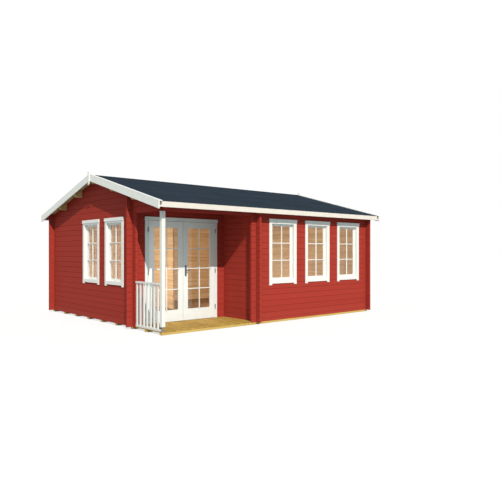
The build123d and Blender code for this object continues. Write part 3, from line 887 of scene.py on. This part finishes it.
def build_eave_logs():
    """The long walls' top logs run on to the bargeboards, cut to the roof's slope."""
    bottom = BASE + (LOGS_UNDER_TOP + 0.5) * LOG_HEIGHT
    slope = math.tan(ROOF_PITCH)
    logs = bmesh.new()
    for wall, boards in (("front_top_logs", "roof_boards_front"),
                         ("back_wall", "roof_boards_back")):
        wall_lo, wall_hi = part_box(wall)
        lo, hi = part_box(boards)
        eave = max(abs(lo.y), abs(hi.y))
        tops = [lo.z + slope * (eave - abs(y)) for y in (wall_lo.y, wall_hi.y)]
        outline = [(wall_lo.y, bottom), (wall_hi.y, bottom), (wall_hi.y, tops[1]),
                   (wall_lo.y, tops[0])]
        for start, end in ((lo.x, wall_lo.x), (wall_hi.x, hi.x)):
            join(logs, soften(prism(outline, "X", start, end), TRIM_EDGE))
    make_piece("eave_logs", logs, "logs_x")


def build_fascia_plates():
    """Small steel plates, each with two screws, at the ends of the fascias."""
    screw_radius, screw_edge = 0.005, 0.0006
    plates = bmesh.new()
    for name, out in (("fascia_front", -1), ("fascia_back", 1)):
        lo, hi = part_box(name)
        face = lo.y if out < 0 else hi.y
        plate_face = face + out * PLATE_THICKNESS
        screw_face = face + out * 2 * PLATE_THICKNESS
        high = hi.z - PLATE_DROP
        low = high - PLATE_HEIGHT
        for x in (lo.x, hi.x - PLATE_WIDTH):
            near, far = sorted((face, plate_face))
            join(plates, soften(box((x, near, low), (x + PLATE_WIDTH, far, high)), SCREW_EDGE))
            for z in (low + PLATE_HEIGHT * 0.25, low + PLATE_HEIGHT * 0.75):
                join(plates, screw_head((x + PLATE_WIDTH / 2, z), screw_radius,
                                        plate_face, screw_face, edge=screw_edge))
    make_piece("fascia_plates", plates, "zinc")


def build_felt(side, name):
    """Sheets of felt along one slope, each lapped over the one below it."""
    node = "roof_covering_" + name
    lo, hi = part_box(node)
    cosine, sine = math.cos(ROOF_PITCH), math.sin(ROOF_PITCH)
    ridge = hi.z - FELT_THICKNESS / cosine
    eave = max(abs(lo.y), abs(hi.y))
    length = (eave - FELT_THICKNESS * sine) / cosine
    sheets = bmesh.new()

    def place(down, up):
        """The Y and Z of a place so far down the slope and above it."""
        return side * (down * cosine + up * sine), ridge - down * sine + up * cosine

    for number in range(FELT_COURSES):
        upper, lower = (FELT_FROM_RIDGE + edge * (length - FELT_FROM_RIDGE) / FELT_COURSES
                        for edge in (number, number + 1))
        outline = [place(upper, 0.0), place(lower, 0.0), place(lower, FELT_THICKNESS),
                   place(upper, FELT_THICKNESS / 2)]
        join(sheets, soften(prism(outline, "X", lo.x, hi.x), THIN_EDGE, 1))
    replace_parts(make_piece("roof_felt_" + name, sheets, "felt"), node)


# ---- Camera, light and floor --------------------------------------------------------------------

# Soft lamps: name, place, size, power in watts, the way they face, colour
SOFT_LAMPS = [
    ("right_wall_lamp", (-0.3, -0.4, 1.3), (3.4, 1.6), 39.0, (1, 0, 0), (1.0, 0.89, 0.70)),
    ("back_wall_lamp", (0.9, -0.6, 0.35), (1.3, 0.4), 25.0, (0, 1, -0.45), (1.0, 0.95, 0.88)),
    ("side_room_lamp", (LEFT + 0.55, 0.5, 0.9), (1.0, 1.4), 34.0, (1, 0.3, 0), (1.0, 0.86, 0.66)),
    ("porch_lamp", (LEFT + 0.25, (FRONT + PORCH_BACK) / 2, 1.1), (0.5, 1.4), 2.4, (1, 0, 0),
     (1.0, 0.9, 0.85)),
]
SUN_TRAVEL = Vector((0.304, 0.715, -0.629))
FLOOR_HALF_WIDTH = 80.0

# How much of the floor's shown colour is plain white, whatever shadow falls on it
FLOOR_WHITE_SHARE = 0.72


def build_camera():
    """An eye-level camera off the cabin's left front corner."""
    data = bpy.data.cameras.new("camera")
    data.sensor_width = 36.0
    data.lens = 38.55
    data.shift_x = -0.0045
    data.shift_y = 0.0018
    data.clip_end = 200.0
    camera = bpy.data.objects.new("camera", data)
    camera.location = (-7.533, -10.150, 1.4185)
    camera.rotation_euler = (math.radians(90), 0, math.radians(-41.066))
    bpy.context.scene.collection.objects.link(camera)
    bpy.context.scene.camera = camera


def soft_lamp(name, location, size, power, facing, colour):
    """A soft lamp that faces a way and doesn't show itself."""
    data = bpy.data.lights.new(name, "AREA")
    data.shape = "RECTANGLE"
    data.size, data.size_y = size
    data.energy = power
    data.color = colour
    lamp = bpy.data.objects.new(name, data)
    lamp.location = location
    lamp.rotation_euler = Vector(facing).to_track_quat("-Z", "Y").to_euler()
    lamp.visible_camera = False
    lamp.visible_transmission = False
    lamp.visible_glossy = False
    bpy.context.scene.collection.objects.link(lamp)


def build_light():
    """Sun from the front left, a soft white sky, and soft light in the rooms and the porch."""
    data = bpy.data.lights.new("sun", "SUN")
    data.energy = 3.78
    data.angle = math.radians(0.5)
    data.color = (1.0, 0.91, 0.815)
    sun = bpy.data.objects.new("sun", data)
    sun.rotation_euler = SUN_TRAVEL.to_track_quat("-Z", "Y").to_euler()
    bpy.context.scene.collection.objects.link(sun)
    for lamp in SOFT_LAMPS:
        soft_lamp(*lamp)

    world = bpy.data.worlds.new("sky")
    world.use_nodes = True
    bpy.context.scene.world = world
    tree = world.node_tree
    sky = tree.nodes["Background"]
    sky.inputs["Color"].default_value = (0.85, 0.99, 1.0, 1.0)
    sky.inputs["Strength"].default_value = 0.525
    white = tree.nodes.new("ShaderNodeBackground")
    white.inputs["Color"].default_value = (1.0, 1.0, 1.0, 1.0)
    white.inputs["Strength"].default_value = 1.0
    shown = mix_shaders(tree, seen_directly(tree, glossy=False), sky.outputs[0], white.outputs[0])
    link(tree, shown, tree.nodes["World Output"].inputs["Surface"])


def build_floor():
    """A wide pale floor that shows white, with the cabin's soft shadow on it."""
    mesh = bpy.data.meshes.new("studio_floor")
    half = FLOOR_HALF_WIDTH
    mesh.from_pydata([(-half, -half, 0), (half, -half, 0), (half, half, 0), (-half, half, 0)], [],
                     [(0, 1, 2, 3)])
    floor = bpy.data.objects.new("studio_floor", mesh)
    bpy.context.scene.collection.objects.link(floor)
    material, tree, grey = new_material("studio_floor")
    grey.inputs["Base Color"].default_value = (0.36, 0.41, 0.43, 1.0)
    grey.inputs["Roughness"].default_value = 0.9
    grey.inputs["Specular IOR Level"].default_value = 0.0
    pale = tree.nodes.new("ShaderNodeBsdfDiffuse")
    pale.inputs["Color"].default_value = (0.92, 0.92, 0.92, 1.0)
    white = tree.nodes.new("ShaderNodeEmission")
    white.inputs["Strength"].default_value = 1.0
    shown = mix_shaders(tree, FLOOR_WHITE_SHARE, pale.outputs[0], white.outputs[0])
    surface = mix_shaders(tree, seen_directly(tree), grey.outputs[0], shown)
    link(tree, surface, tree.nodes["Material Output"].inputs["Surface"])
    floor.data.materials.append(material)


bpy.context.scene.view_settings.view_transform = "Standard"
finish_nodes()
build_windows()
build_door()
build_handle()
build_deck()
build_timber()
build_eave_logs()
build_fascia_plates()
build_felt(-1, "front")
build_felt(1, "back")
build_camera()
build_light()
build_floor()
